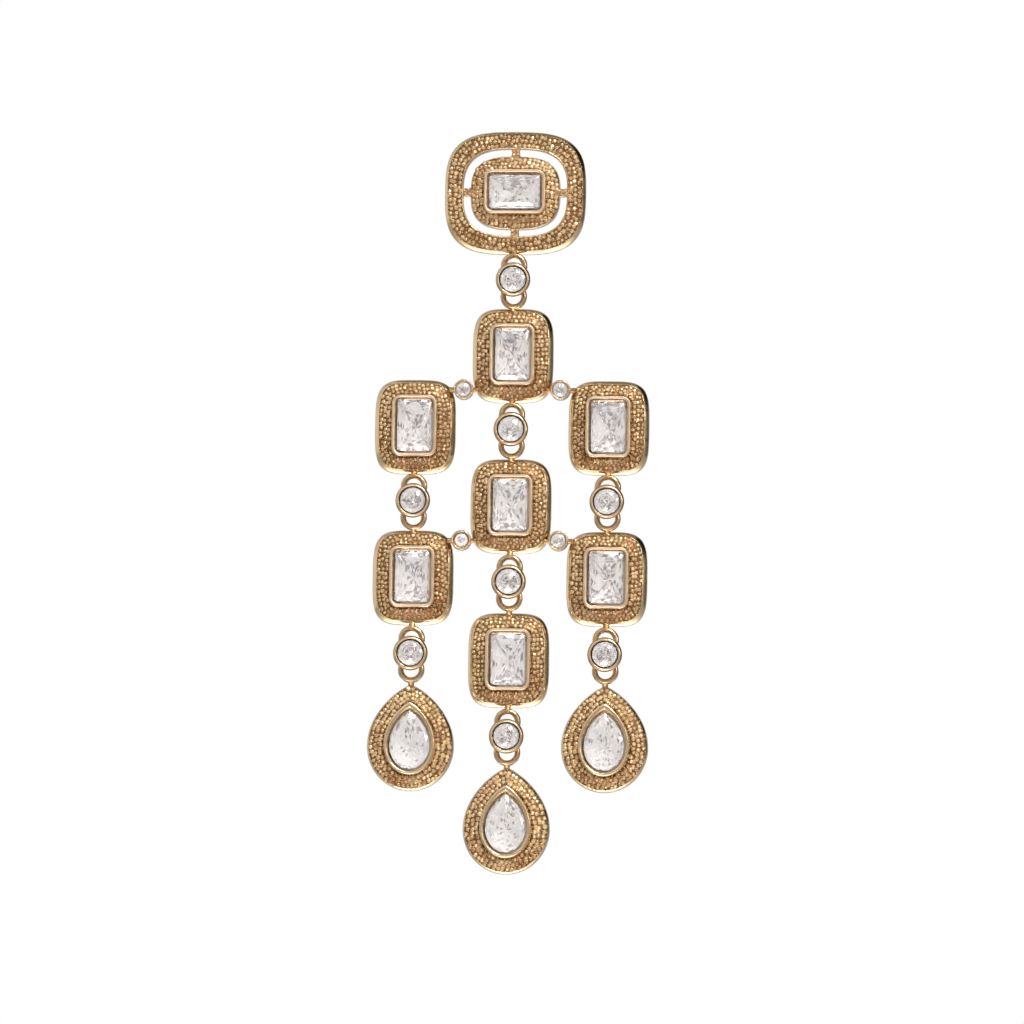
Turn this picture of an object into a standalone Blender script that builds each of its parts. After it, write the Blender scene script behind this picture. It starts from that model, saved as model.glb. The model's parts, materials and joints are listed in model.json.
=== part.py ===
"""A chandelier earring, face towards -Y, hanging down -Z from the ear post at the origin.

A pierced cushion plate carries the ear post. Two soldered rows of three cushion frames, one single
cushion frame and three pear frames hang below it, on round bezel links whose wire staples close
round small rings on the frames' edges.
"""

import math

import bmesh
import bpy
from mathutils import Matrix, Vector

MM = 0.001
QUARTER_TURN = math.pi / 2

# Stones: length, width, depth and table are those of the cut stone.
STONE_WIDTH = 4.0 * MM
STONE_HEIGHT = 6.0 * MM
PEAR_STONE_WIDTH = 5.0 * MM
PEAR_STONE_RISE = 3.95 * MM
PEAR_STONE_FALL = 2.85 * MM
ROUND_STONE = 3.1 * MM
SMALL_STONE = 1.8 * MM
STONE_GAP = 0.12 * MM
STONE_CORNER_CUT = 0.45 * MM
ROUND_STONE_SUNK = 0.25 * MM
SMALL_STONE_SUNK = 0.2 * MM

# Cushion frames and the rows.
CUSHION_WIDTH = 9.72 * MM
CUSHION_HEIGHT = 11.4 * MM
CUSHION_POWER = 4.0
COLUMN_SPACING = 11.6 * MM
SIDE_DROP = 8.64 * MM
BEZEL_WALL = 0.5 * MM
BEZEL_CORNER = 0.9 * MM
BEZEL_LIP_SHARE = 0.15
THROAT_WIDTH_SHARE = 0.7
THROAT_HEIGHT_SHARE = 0.8

# Pear frames: half width, and the reach above and below the widest line.
PEAR_HALF = 5.22 * MM
PEAR_RISE = 7.4 * MM
PEAR_FALL = 5.4 * MM
PEAR_TAPER = 1.6
PEAR_THROAT_SHARE = 0.7

# Top plate.
PLATE_WIDTH = 17.0 * MM
PLATE_HEIGHT = 14.9 * MM
PLATE_POWER = 3.2
SLOT_OUTER_WIDTH = 12.44 * MM
SLOT_OUTER_HEIGHT = 10.52 * MM
SLOT_WIDTH = 0.8 * MM
SLOT_POWER = 2.9
SPOKE_WIDTH = 1.05 * MM
SPOKE_OVERLAP = 0.3 * MM
SPOKE_DEPTHS = (0.15 * MM, 1.1 * MM)
FLOOR_SHARE = 0.75
POST_ABOVE_CENTRE = 2.0 * MM

# Ear post.
POST_RADIUS = 0.45 * MM
POST_LENGTH = 10.5 * MM
POST_PAD_RADIUS = 1.7 * MM
POST_PAD_DEPTH = 0.5 * MM
POST_BURIED = 0.3 * MM
POST_PAD_EDGE = 0.3 * MM
POST_GROOVE_RADIUS = 0.34 * MM
POST_GROOVE_HALF = 0.3 * MM
POST_GROOVE_TO_TIP = 2.0 * MM
POST_TIP_ROUND = 0.3 * MM

# Links, rings and staples.
LINK_RADIUS = 2.1 * MM
LINK_BACK_RADIUS = 1.5 * MM
LINK_BACK = 1.75 * MM
LINK_FRONT = 2.95 * MM
LINK_LIP_IN = 0.1 * MM
LINK_LIP_DROP = 0.35 * MM
LINK_SEAT_DROP = 0.55 * MM
LINK_BACK_WALL = 0.7 * MM
RING_RADIUS = 1.25 * MM
RING_WIRE = 0.35 * MM
RING_DEPTH = 0.9 * MM
RING_TO_LINK = 1.85 * MM
LUG_RADIUS = 0.42 * MM
LUG_BURIED = 0.7 * MM
STAPLE_WIRE = 0.25 * MM
STAPLE_GAP = 0.24 * MM
STAPLE_BACK_GAP = 0.2 * MM
STAPLE_BEND = 0.3 * MM
STAPLE_IN_CUP = 0.25 * MM
STAPLE_LEG_IN = 0.3 * MM
STAPLE_KNEE = 0.1 * MM
GAP_PLATE = 6.48 * MM
GAP_ROWS = 6.72 * MM
GAP_BELOW = 7.08 * MM

# Small bezels between the frames of a row, and the bar that each sits on.
SIDE_BEZEL_RADIUS = 1.2 * MM
SIDE_BEZEL_FRONT = 1.95 * MM
SIDE_BEZEL_BACK = 0.35 * MM
SIDE_BEZEL_DROP = 4.2 * MM
SIDE_BEZEL_SEAT_DROP = 0.55 * MM
SIDE_BEZEL_HOLE_SHARE = 0.6
BAR_START = 0.75 * MM
BAR_HALF_LENGTH = 1.7 * MM
BAR_HALF_HEIGHT = 0.45 * MM
BAR_DEPTHS = (0.45 * MM, 1.05 * MM)

# Outline points, a multiple of four.
OUTLINE_SIDES = 24
RIM_SIDES = 32
STONE_SIDES = 12
TURNED_SIDES = 12
LUG_SIDES = 8
WIRE_SIDES = 6

# A frame from its outer edge (share 0) to the foot of its bezel (share 1), with the depth in
# front of the back at each: edge, top of the polished wall, crest of the rim, paved channel.
FRAME_BAND = (
    {"share": 0.00, "depth": 0.00 * MM},
    {"share": 0.09, "depth": 1.15 * MM},
    {"share": 0.17, "depth": 1.35 * MM},
    {"share": 0.25, "depth": 1.15 * MM},
    {"share": 1.00, "depth": 1.85 * MM},
)
BEZEL_TOP = 2.45 * MM
SEAT_DEPTH = 1.45 * MM
GIRDLE_DEPTH = 1.95 * MM

# The plate's outer ring, from its outer edge (share 0) to its slot edge (share 1).
RING_BAND = (
    {"share": 0.00, "depth": 0.00 * MM},
    {"share": 0.08, "depth": 1.15 * MM},
    {"share": 0.16, "depth": 1.35 * MM},
    {"share": 0.24, "depth": 1.15 * MM},
    {"share": 0.78, "depth": 1.30 * MM},
    {"share": 0.88, "depth": 1.50 * MM},
    {"share": 0.96, "depth": 1.35 * MM},
    {"share": 1.00, "depth": 0.00 * MM},
)
PLATE_FLOOR = 0.7 * MM

# Cut of the stones: size as a share of the girdle, and height above it.
STONE_CUT = (
    {"share": 0.60, "height": 0.50 * MM},
    {"share": 0.84, "height": 0.30 * MM},
    {"share": 1.00, "height": 0.05 * MM},
    {"share": 1.00, "height": -0.05 * MM},
    {"share": 0.55, "height": -0.95 * MM},
)
ROUND_CUT = (
    {"share": 0.56, "height": 0.42 * MM},
    {"share": 1.00, "height": 0.06 * MM},
    {"share": 1.00, "height": -0.02 * MM},
    {"share": 0.12, "height": -1.00 * MM},
)

# Colours: base colour, metallic, roughness.
LOOKS = {
    "gold": ((0.78, 0.50, 0.24), 1.0, 0.25),
    "clear_stone": ((0.90, 0.90, 0.92), 0.0, 0.05),
}

PLATE_Z = -POST_ABOVE_CENTRE
LINK_TOP_Z = PLATE_Z - PLATE_HEIGHT / 2 - GAP_PLATE / 2
ROW_UPPER_Z = LINK_TOP_Z - GAP_PLATE / 2 - CUSHION_HEIGHT / 2
ROW_LOWER_Z = ROW_UPPER_Z - CUSHION_HEIGHT - GAP_ROWS
LOWEST_Z = ROW_LOWER_Z - CUSHION_HEIGHT - GAP_BELOW


def clear_scene():
    for thing in list(bpy.data.objects):
        bpy.data.objects.remove(thing, do_unlink=True)


def new_collection(name, hidden):
    collection = bpy.data.collections.new(name)
    bpy.context.scene.collection.children.link(collection)
    collection.hide_render = hidden
    return collection


def material(name, look):
    colour, metallic, roughness = LOOKS[look]
    made = bpy.data.materials.new(name)
    made.use_nodes = True
    shader = made.node_tree.nodes["Principled BSDF"]
    shader.inputs["Base Color"].default_value = (*colour, 1.0)
    shader.inputs["Metallic"].default_value = metallic
    shader.inputs["Roughness"].default_value = roughness
    made.diffuse_color = (*colour, 1.0)
    return made


def superellipse(half_width, half_height, power, count):
    """Points (x, z) of |x/a|^n + |z/b|^n = 1, denser at the corners."""
    points = []
    for step in range(count):
        turn = 2 * math.pi * (step + 0.5) / count
        across, up = math.cos(turn), math.sin(turn)
        x = math.copysign(abs(across) ** (2 / power), across) * half_width
        z = math.copysign(abs(up) ** (2 / power), up) * half_height
        points.append((x, z))
    return points


def rounded_rectangle(half_width, half_height, corner, count):
    """Points (x, z) of a rectangle whose corners are arcs, a quarter of the points on each."""
    per_corner = count // 4
    points = []
    for quarter in range(4):
        side_x = 1 if quarter in (0, 3) else -1
        side_z = 1 if quarter in (0, 1) else -1
        for step in range(per_corner):
            turn = QUARTER_TURN * (quarter + step / (per_corner - 1))
            x = side_x * (half_width - corner) + corner * math.cos(turn)
            z = side_z * (half_height - corner) + corner * math.sin(turn)
            points.append((x, z))
    return points


def pear(half_width, rise, fall, count, taper=PEAR_TAPER):
    """Points (x, z): an ellipse below its widest line and |sin|^taper drawn in to a tip above."""
    points = []
    for step in range(count):
        turn = 2 * math.pi * step / count
        across, up = math.sin(turn), math.cos(turn)
        draw = taper if up > 0 else 1.0
        x = -math.copysign(abs(across) ** draw, across) * half_width
        z = up * (rise if up > 0 else fall)
        points.append((x, z))
    return points


def between(outer, inner, share):
    return [
        (ox + (ix - ox) * share, oz + (iz - oz) * share)
        for (ox, oz), (ix, iz) in zip(outer, inner)
    ]


def section(points, depth):
    """An outline's points in space, at a depth in front of the back plane."""
    return [Vector((x, -depth, z)) for x, z in points]


def loft_mesh(name, sections, ring_shaped):
    """A skin over matching sections; a ring-shaped one joins the last to the first, else both are capped."""
    shape = bmesh.new()
    loops = [[shape.verts.new(point) for point in loop] for loop in sections]
    pairs = list(zip(loops, loops[1:]))
    if ring_shaped:
        pairs.append((loops[-1], loops[0]))
    else:
        shape.faces.new(loops[0])
        shape.faces.new(loops[-1])
    for first, second in pairs:
        count = len(first)
        for step in range(count):
            after = (step + 1) % count
            shape.faces.new((first[step], first[after], second[after], second[step]))
    bmesh.ops.recalc_face_normals(shape, faces=shape.faces)
    mesh = bpy.data.meshes.new(name)
    shape.to_mesh(mesh)
    shape.free()
    return mesh


def place(name, mesh, collection, x=0.0, z=0.0, look=None):
    thing = bpy.data.objects.new(name, mesh)
    thing.location = (x, 0.0, z)
    collection.objects.link(thing)
    if look:
        mesh.materials.clear()
        mesh.materials.append(material(name, look))
    else:
        thing.hide_render = True
        thing.display_type = "WIRE"
    return thing


def shade(mesh, degrees=35.0):
    mesh.shade_smooth()
    mesh.set_sharp_from_angle(angle=math.radians(degrees))


def turned_mesh(name, profile, closed, steps=TURNED_SIDES):
    """A profile of (radius, height) turned by a Screw modifier, its axis then laid along -Y."""
    mesh = bpy.data.meshes.new(name + "_profile")
    edges = [(step, step + 1) for step in range(len(profile) - 1)]
    if closed:
        edges.append((len(profile) - 1, 0))
    mesh.from_pydata([(radius, 0.0, height) for radius, height in profile], edges, [])
    helper = bpy.data.objects.new(name + "_profile", mesh)
    bpy.context.scene.collection.objects.link(helper)
    screw = helper.modifiers.new("turn", "SCREW")
    screw.steps = steps
    screw.render_steps = steps
    screw.use_merge_vertices = True
    screw.merge_threshold = 0.00001
    turned = evaluated_mesh(helper, name)
    turned.transform(Matrix.Rotation(QUARTER_TURN, 4, "X"))
    bpy.data.objects.remove(helper, do_unlink=True)
    bpy.data.meshes.remove(mesh)
    return turned


def evaluated_mesh(thing, name):
    """The object's mesh with its modifiers or bevel applied, its loose caps welded."""
    bpy.context.view_layer.update()
    graph = bpy.context.evaluated_depsgraph_get()
    made = bpy.data.meshes.new_from_object(thing.evaluated_get(graph))
    made.name = name
    shape = bmesh.new()
    shape.from_mesh(made)
    bmesh.ops.remove_doubles(shape, verts=shape.verts, dist=0.000001)
    bmesh.ops.recalc_face_normals(shape, faces=shape.faces)
    shape.to_mesh(made)
    shape.free()
    return made


def primitive_mesh(name):
    """Takes the mesh of the primitive just added, and removes its object."""
    thing = bpy.context.object
    mesh = thing.data
    mesh.name = name
    bpy.data.objects.remove(thing, do_unlink=True)
    return mesh


def ring_mesh(name):
    bpy.ops.mesh.primitive_torus_add(
        major_segments=TURNED_SIDES,
        minor_segments=WIRE_SIDES,
        major_radius=RING_RADIUS,
        minor_radius=RING_WIRE,
        rotation=(0.0, 0.0, 0.0),
    )
    mesh = primitive_mesh(name)
    mesh.transform(Matrix.Rotation(QUARTER_TURN, 4, "X"))
    mesh.transform(Matrix.Translation((0.0, -RING_DEPTH, 0.0)))
    return mesh


def lug_mesh(name, length):
    """A short post up and down, centred on its own middle."""
    bpy.ops.mesh.primitive_cylinder_add(
        vertices=LUG_SIDES, radius=LUG_RADIUS, depth=length
    )
    mesh = primitive_mesh(name)
    mesh.transform(Matrix.Translation((0.0, -RING_DEPTH, 0.0)))
    return mesh


def box_mesh(name, low, high):
    bpy.ops.mesh.primitive_cube_add(size=1.0)
    mesh = primitive_mesh(name)
    low, high = Vector(low), Vector(high)
    mesh.transform(Matrix.Diagonal((*(high - low), 1.0)))
    mesh.transform(Matrix.Translation((low + high) / 2))
    return mesh


def solder(base, pieces):
    """Joins the pieces to the base as one solid, which keeps its own place."""
    for number, piece in enumerate(pieces):
        union = base.modifiers.new(f"solder_{number}", "BOOLEAN")
        union.operation = "UNION"
        union.solver = "EXACT"
        union.object = piece


def hanging_ring(name, x, edge_z, gap, side, helpers):
    """A ring and its lug at a frame's edge, below it for side -1 and above it for side 1."""
    reach = gap / 2 - RING_TO_LINK
    ring_z = edge_z + side * reach
    inner = reach - RING_RADIUS
    outer = -LUG_BURIED
    lug_z = edge_z + side * (inner + outer) / 2
    ring = place(name, ring_mesh(name), helpers, x, ring_z)
    lug = place(name + "_lug", lug_mesh(name + "_lug", inner - outer), helpers, x, lug_z)
    return [ring, lug]


def bezel_sections(foot, window, throat, open_back):
    """From the bezel's foot over its lip, down its window to the seat, and through or to a floor."""
    lip = between(foot, window, BEZEL_LIP_SHARE)
    sections = [
        section(lip, BEZEL_TOP),
        section(window, BEZEL_TOP),
        section(window, SEAT_DEPTH),
    ]
    if open_back:
        sections.append(section(throat, 0.0))
    else:
        sections.append(section(throat, PLATE_FLOOR))
    return sections


def band_sections(outer, foot, band):
    return [section(between(outer, foot, row["share"]), row["depth"]) for row in band]


def cushion_mesh(name):
    outer = superellipse(CUSHION_WIDTH / 2, CUSHION_HEIGHT / 2, CUSHION_POWER, OUTLINE_SIDES)
    half_width = STONE_WIDTH / 2 + STONE_GAP
    half_height = STONE_HEIGHT / 2 + STONE_GAP
    foot = rounded_rectangle(half_width + BEZEL_WALL, half_height + BEZEL_WALL, BEZEL_CORNER, OUTLINE_SIDES)
    window = rounded_rectangle(half_width, half_height, BEZEL_CORNER / 2, OUTLINE_SIDES)
    throat = rounded_rectangle(
        half_width * THROAT_WIDTH_SHARE, half_height * THROAT_HEIGHT_SHARE, BEZEL_CORNER / 2, OUTLINE_SIDES
    )
    sections = band_sections(outer, foot, FRAME_BAND) + bezel_sections(foot, window, throat, True)
    return loft_mesh(name, sections, ring_shaped=True)


def pear_mesh(name):
    outer = pear(PEAR_HALF, PEAR_RISE, PEAR_FALL, OUTLINE_SIDES)
    half = PEAR_STONE_WIDTH / 2 + STONE_GAP
    rise = PEAR_STONE_RISE + STONE_GAP
    fall = PEAR_STONE_FALL + STONE_GAP
    foot = pear(half + BEZEL_WALL, rise + 2 * BEZEL_WALL, fall + BEZEL_WALL, OUTLINE_SIDES)
    window = pear(half, rise, fall, OUTLINE_SIDES)
    throat = between([(0.0, 0.0)] * OUTLINE_SIDES, window, PEAR_THROAT_SHARE)
    sections = band_sections(outer, foot, FRAME_BAND) + bezel_sections(foot, window, throat, True)
    return loft_mesh(name, sections, ring_shaped=True)


def stone_mesh(name, outline, cut, centre=(0.0, 0.0)):
    """A cut stone from its table to its culet, at the girdle's depth."""
    sections = []
    for row in cut:
        points = [
            (centre[0] + (x - centre[0]) * row["share"], centre[1] + (z - centre[1]) * row["share"])
            for x, z in outline
        ]
        sections.append(section(points, row["height"]))
    return loft_mesh(name, sections, ring_shaped=False)


def stone(name, mesh, collection, x, z, girdle_depth=GIRDLE_DEPTH):
    made = place(name, mesh, collection, x, z, "clear_stone")
    made.location.y = -girdle_depth
    return made


def rectangle_stone_outline(half_width, half_height):
    """An oblong with cut corners."""
    cut = STONE_CORNER_CUT
    return [
        (half_width, -half_height + cut),
        (half_width, half_height - cut),
        (half_width - cut, half_height),
        (-half_width + cut, half_height),
        (-half_width, half_height - cut),
        (-half_width, -half_height + cut),
        (-half_width + cut, -half_height),
        (half_width - cut, -half_height),
    ]


def side_bezel_mesh(name):
    window = SMALL_STONE / 2 + STONE_GAP
    profile = (
        (window, SIDE_BEZEL_FRONT),
        (SIDE_BEZEL_RADIUS, SIDE_BEZEL_FRONT),
        (SIDE_BEZEL_RADIUS, SIDE_BEZEL_BACK),
        (window * SIDE_BEZEL_HOLE_SHARE, SIDE_BEZEL_BACK),
        (window, SIDE_BEZEL_FRONT - SIDE_BEZEL_SEAT_DROP),
    )
    return turned_mesh(name, profile, closed=True)


def round_cup_mesh(name):
    window = ROUND_STONE / 2 + STONE_GAP
    profile = (
        (window, LINK_FRONT),
        (LINK_RADIUS - LINK_LIP_IN, LINK_FRONT),
        (LINK_RADIUS, LINK_FRONT - LINK_LIP_DROP),
        (LINK_BACK_RADIUS, LINK_BACK),
        (LINK_BACK_RADIUS - LINK_BACK_WALL, LINK_BACK),
        (window, LINK_FRONT - LINK_SEAT_DROP),
    )
    return turned_mesh(name, profile, closed=True)


def staple_mesh(name):
    """A bent wire behind the cup: back through one ring, down behind both, and forward through the other."""
    arc = RING_TO_LINK - RING_RADIUS
    level = arc + RING_WIRE + STAPLE_GAP + STAPLE_WIRE
    back = RING_DEPTH - RING_WIRE - STAPLE_BACK_GAP - STAPLE_WIRE
    front = LINK_BACK + STAPLE_IN_CUP
    knee = LINK_BACK - STAPLE_KNEE
    leg = LINK_BACK_RADIUS - STAPLE_LEG_IN
    upper_half = (
        (front, leg),
        (knee, level),
        (back + STAPLE_BEND, level),
        (back, level - STAPLE_BEND),
    )
    route = upper_half + tuple((depth, -z) for depth, z in reversed(upper_half))
    path = bpy.data.curves.new(name + "_route", "CURVE")
    path.dimensions = "3D"
    path.bevel_depth = STAPLE_WIRE
    path.bevel_resolution = 1
    path.use_fill_caps = True
    line = path.splines.new("POLY")
    line.points.add(len(route) - 1)
    for point, (depth, z) in zip(line.points, route):
        point.co = (0.0, -depth, z, 1.0)
    helper = bpy.data.objects.new(name + "_route", path)
    bpy.context.scene.collection.objects.link(helper)
    mesh = evaluated_mesh(helper, name)
    bpy.data.objects.remove(helper, do_unlink=True)
    return mesh


def build_link(name, x, z, parts, helpers):
    cup = place(name, round_cup_mesh(name), parts, x, z, "gold")
    staple = place(name + "_staple", staple_mesh(name + "_staple"), helpers, x, z)
    solder(cup, [staple])
    shade(cup.data)
    outline = superellipse(ROUND_STONE / 2, ROUND_STONE / 2, 2.0, TURNED_SIDES)
    mesh = stone_mesh(name + "_stone", outline, ROUND_CUT)
    stone(name + "_stone", mesh, parts, x, z, LINK_FRONT - ROUND_STONE_SUNK)


def build_row(name, centre_z, rings_above, gap_below_side, gap_below, parts, helpers):
    """Three cushion frames soldered by two small bezels; side frames hang lower than the middle one."""
    half = CUSHION_HEIGHT / 2
    columns = (
        {"side": "centre", "x": 0.0, "z": centre_z},
        {"side": "left", "x": -COLUMN_SPACING, "z": centre_z - SIDE_DROP},
        {"side": "right", "x": COLUMN_SPACING, "z": centre_z - SIDE_DROP},
    )
    base = place(name, cushion_mesh(name), parts, 0.0, centre_z, "gold")
    joined = []
    for column in columns:
        x, z, side = column["x"], column["z"], column["side"]
        if side != "centre":
            frame = name + "_" + side
            joined.append(place(frame, cushion_mesh(frame), helpers, x, z))
        above = rings_above.get(side)
        below = gap_below if side == "centre" else gap_below_side
        ring = f"{name}_{side}_ring"
        if above:
            joined += hanging_ring(ring + "_above", x, z + half, above, 1, helpers)
        joined += hanging_ring(ring + "_below", x, z - half, below, -1, helpers)
        mesh = rectangle_stone(f"{name}_{side}_stone", STONE_WIDTH, STONE_HEIGHT)
        stone(f"{name}_{side}_stone", mesh, parts, x, z)
    for side, way in (("left", -1), ("right", 1)):
        x = way * COLUMN_SPACING / 2
        z = centre_z - SIDE_BEZEL_DROP
        bezel = f"{name}_{side}_small_bezel"
        joined.append(place(bezel, side_bezel_mesh(bezel), helpers, x, z))
        for end in (-1, 1):
            bar = f"{bezel}_bar_{end}"
            reach = sorted((BAR_START * end, BAR_HALF_LENGTH * end))
            low = (reach[0], -BAR_DEPTHS[1], -BAR_HALF_HEIGHT)
            high = (reach[1], -BAR_DEPTHS[0], BAR_HALF_HEIGHT)
            joined.append(place(bar, box_mesh(bar, low, high), helpers, x, z))
        outline = superellipse(SMALL_STONE / 2, SMALL_STONE / 2, 2.0, TURNED_SIDES)
        small = stone_mesh(bezel.replace("bezel", "stone"), outline, small_cut())
        stone(bezel.replace("bezel", "stone"), small, parts, x, z, SIDE_BEZEL_FRONT - SMALL_STONE_SUNK)
    solder(base, joined)


def small_cut():
    scale = SMALL_STONE / ROUND_STONE
    return tuple({"share": row["share"], "height": row["height"] * scale} for row in ROUND_CUT)


def rectangle_stone(name, width, height):
    return stone_mesh(name, rectangle_stone_outline(width / 2, height / 2), STONE_CUT)


def build_plate(parts, helpers):
    name = "top_plate"
    outer = superellipse(PLATE_WIDTH / 2, PLATE_HEIGHT / 2, PLATE_POWER, RIM_SIDES)
    slot = superellipse(SLOT_OUTER_WIDTH / 2, SLOT_OUTER_HEIGHT / 2, SLOT_POWER, RIM_SIDES)
    rim = loft_mesh(name, band_sections(outer, slot, RING_BAND), ring_shaped=True)
    base = place(name, rim, parts, 0.0, PLATE_Z, "gold")

    inner_half_width = SLOT_OUTER_WIDTH / 2 - SLOT_WIDTH
    inner_half_height = SLOT_OUTER_HEIGHT / 2 - SLOT_WIDTH
    edge = superellipse(inner_half_width, inner_half_height, SLOT_POWER, OUTLINE_SIDES)
    half_width = STONE_HEIGHT / 2 + STONE_GAP
    half_height = STONE_WIDTH / 2 + STONE_GAP
    foot = rounded_rectangle(half_width + BEZEL_WALL, half_height + BEZEL_WALL, BEZEL_CORNER, OUTLINE_SIDES)
    window = rounded_rectangle(half_width, half_height, BEZEL_CORNER / 2, OUTLINE_SIDES)
    floor = between([(0.0, 0.0)] * OUTLINE_SIDES, window, FLOOR_SHARE)
    sections = band_sections(edge, foot, FRAME_BAND) + bezel_sections(foot, window, floor, False)
    middle = place(name + "_middle", loft_mesh(name + "_middle", sections, False), helpers, 0.0, PLATE_Z)

    spokes = []
    for number, (x, z) in enumerate(((1, 0), (0, 1), (-1, 0), (0, -1))):
        along = (inner_half_width if x else inner_half_height) + SLOT_WIDTH / 2
        half_length = SLOT_WIDTH / 2 + SPOKE_OVERLAP
        half_x = half_length if x else SPOKE_WIDTH / 2
        half_z = half_length if z else SPOKE_WIDTH / 2
        spoke = f"{name}_spoke_{number}"
        low = (-half_x, -SPOKE_DEPTHS[1], -half_z)
        high = (half_x, -SPOKE_DEPTHS[0], half_z)
        mesh = box_mesh(spoke, low, high)
        spokes.append(place(spoke, mesh, helpers, x * along, PLATE_Z + z * along))
    ring = hanging_ring(name + "_ring", 0.0, PLATE_Z - PLATE_HEIGHT / 2, GAP_PLATE, -1, helpers)
    post = place(name + "_post", post_mesh(name + "_post"), helpers)
    solder(base, [middle, *spokes, *ring, post])
    mesh = rectangle_stone(name + "_stone", STONE_HEIGHT, STONE_WIDTH)
    stone(name + "_stone", mesh, parts, 0.0, PLATE_Z)


def post_mesh(name):
    """The ear post behind the plate, with a pad at its root, a groove and a rounded tip."""
    tip = -POST_LENGTH
    groove = tip + POST_GROOVE_TO_TIP
    profile = (
        (0.0, POST_BURIED),
        (POST_PAD_RADIUS, POST_BURIED),
        (POST_PAD_RADIUS, -POST_PAD_EDGE),
        (POST_RADIUS, -POST_PAD_DEPTH),
        (POST_RADIUS, groove + POST_GROOVE_HALF),
        (POST_GROOVE_RADIUS, groove),
        (POST_RADIUS, groove - POST_GROOVE_HALF),
        (POST_RADIUS, tip + POST_TIP_ROUND),
        (0.0, tip),
    )
    return turned_mesh(name, profile, closed=False)


def build_cushion_lowest(parts, helpers):
    name = "cushion_lowest"
    half = CUSHION_HEIGHT / 2
    base = place(name, cushion_mesh(name), parts, 0.0, LOWEST_Z, "gold")
    rings = hanging_ring(name + "_above", 0.0, LOWEST_Z + half, GAP_BELOW, 1, helpers)
    rings += hanging_ring(name + "_below", 0.0, LOWEST_Z - half, GAP_BELOW, -1, helpers)
    solder(base, rings)
    mesh = rectangle_stone(name + "_stone", STONE_WIDTH, STONE_HEIGHT)
    stone(name + "_stone", mesh, parts, 0.0, LOWEST_Z)


def build_pear(name, x, tip_z, parts, helpers):
    z = tip_z - PEAR_RISE
    base = place(name, pear_mesh(name), parts, x, z, "gold")
    solder(base, hanging_ring(name + "_ring", x, tip_z, GAP_BELOW, 1, helpers))
    outline = pear(PEAR_STONE_WIDTH / 2, PEAR_STONE_RISE, PEAR_STONE_FALL, STONE_SIDES)
    stone(name + "_stone", stone_mesh(name + "_stone", outline, STONE_CUT), parts, x, z)


def main():
    clear_scene()
    parts = new_collection("chandelier_earring", hidden=False)
    helpers = new_collection("cutters", hidden=True)
    half = CUSHION_HEIGHT / 2
    side_z = ROW_LOWER_Z - SIDE_DROP

    build_plate(parts, helpers)
    build_row("row_upper", ROW_UPPER_Z, {"centre": GAP_PLATE}, GAP_ROWS, GAP_ROWS, parts, helpers)
    above = {"centre": GAP_ROWS, "left": GAP_ROWS, "right": GAP_ROWS}
    build_row("row_lower", ROW_LOWER_Z, above, GAP_BELOW, GAP_BELOW, parts, helpers)
    build_cushion_lowest(parts, helpers)
    build_pear("pear_left", -COLUMN_SPACING, side_z - half - GAP_BELOW, parts, helpers)
    build_pear("pear_centre", 0.0, LOWEST_Z - half - GAP_BELOW, parts, helpers)
    build_pear("pear_right", COLUMN_SPACING, side_z - half - GAP_BELOW, parts, helpers)

    row_gap_z = ROW_UPPER_Z - half - GAP_ROWS / 2
    links = (
        {"name": "link_top", "x": 0.0, "z": LINK_TOP_Z},
        {"name": "link_rows_centre", "x": 0.0, "z": row_gap_z},
        {"name": "link_rows_left", "x": -COLUMN_SPACING, "z": row_gap_z - SIDE_DROP},
        {"name": "link_rows_right", "x": COLUMN_SPACING, "z": row_gap_z - SIDE_DROP},
        {"name": "link_cushion", "x": 0.0, "z": ROW_LOWER_Z - half - GAP_BELOW / 2},
        {"name": "link_pear_left", "x": -COLUMN_SPACING, "z": side_z - half - GAP_BELOW / 2},
        {"name": "link_pear_centre", "x": 0.0, "z": LOWEST_Z - half - GAP_BELOW / 2},
        {"name": "link_pear_right", "x": COLUMN_SPACING, "z": side_z - half - GAP_BELOW / 2},
    )
    for link in links:
        build_link(link["name"], link["x"], link["z"], parts, helpers)


main()
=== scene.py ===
"""The finish of a chandelier earring: polished gold frames paved with golden stones, clear cut stones."""

import json
import math

import bpy
import numpy as np
from mathutils import Matrix, Vector

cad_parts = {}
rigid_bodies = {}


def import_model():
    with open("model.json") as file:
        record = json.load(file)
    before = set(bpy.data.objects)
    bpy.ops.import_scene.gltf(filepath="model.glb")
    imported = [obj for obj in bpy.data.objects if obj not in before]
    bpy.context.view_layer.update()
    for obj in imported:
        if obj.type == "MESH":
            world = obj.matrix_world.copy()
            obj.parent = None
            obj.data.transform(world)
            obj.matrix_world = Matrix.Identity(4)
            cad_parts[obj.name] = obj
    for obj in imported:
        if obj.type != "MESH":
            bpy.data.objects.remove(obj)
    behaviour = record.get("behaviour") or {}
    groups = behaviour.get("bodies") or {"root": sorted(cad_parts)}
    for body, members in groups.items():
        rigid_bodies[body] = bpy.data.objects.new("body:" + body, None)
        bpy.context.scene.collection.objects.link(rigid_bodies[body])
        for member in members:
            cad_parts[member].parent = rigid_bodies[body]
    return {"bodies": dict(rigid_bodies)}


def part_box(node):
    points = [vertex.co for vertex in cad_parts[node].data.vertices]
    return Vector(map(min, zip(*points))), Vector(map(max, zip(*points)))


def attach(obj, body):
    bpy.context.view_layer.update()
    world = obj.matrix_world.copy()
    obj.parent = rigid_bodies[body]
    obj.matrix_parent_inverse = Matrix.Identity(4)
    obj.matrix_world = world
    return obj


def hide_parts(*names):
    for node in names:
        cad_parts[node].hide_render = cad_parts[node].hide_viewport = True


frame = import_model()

MM = 0.001
TURN = 2 * math.pi
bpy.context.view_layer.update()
CHANCE = np.random.default_rng(11)

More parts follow.
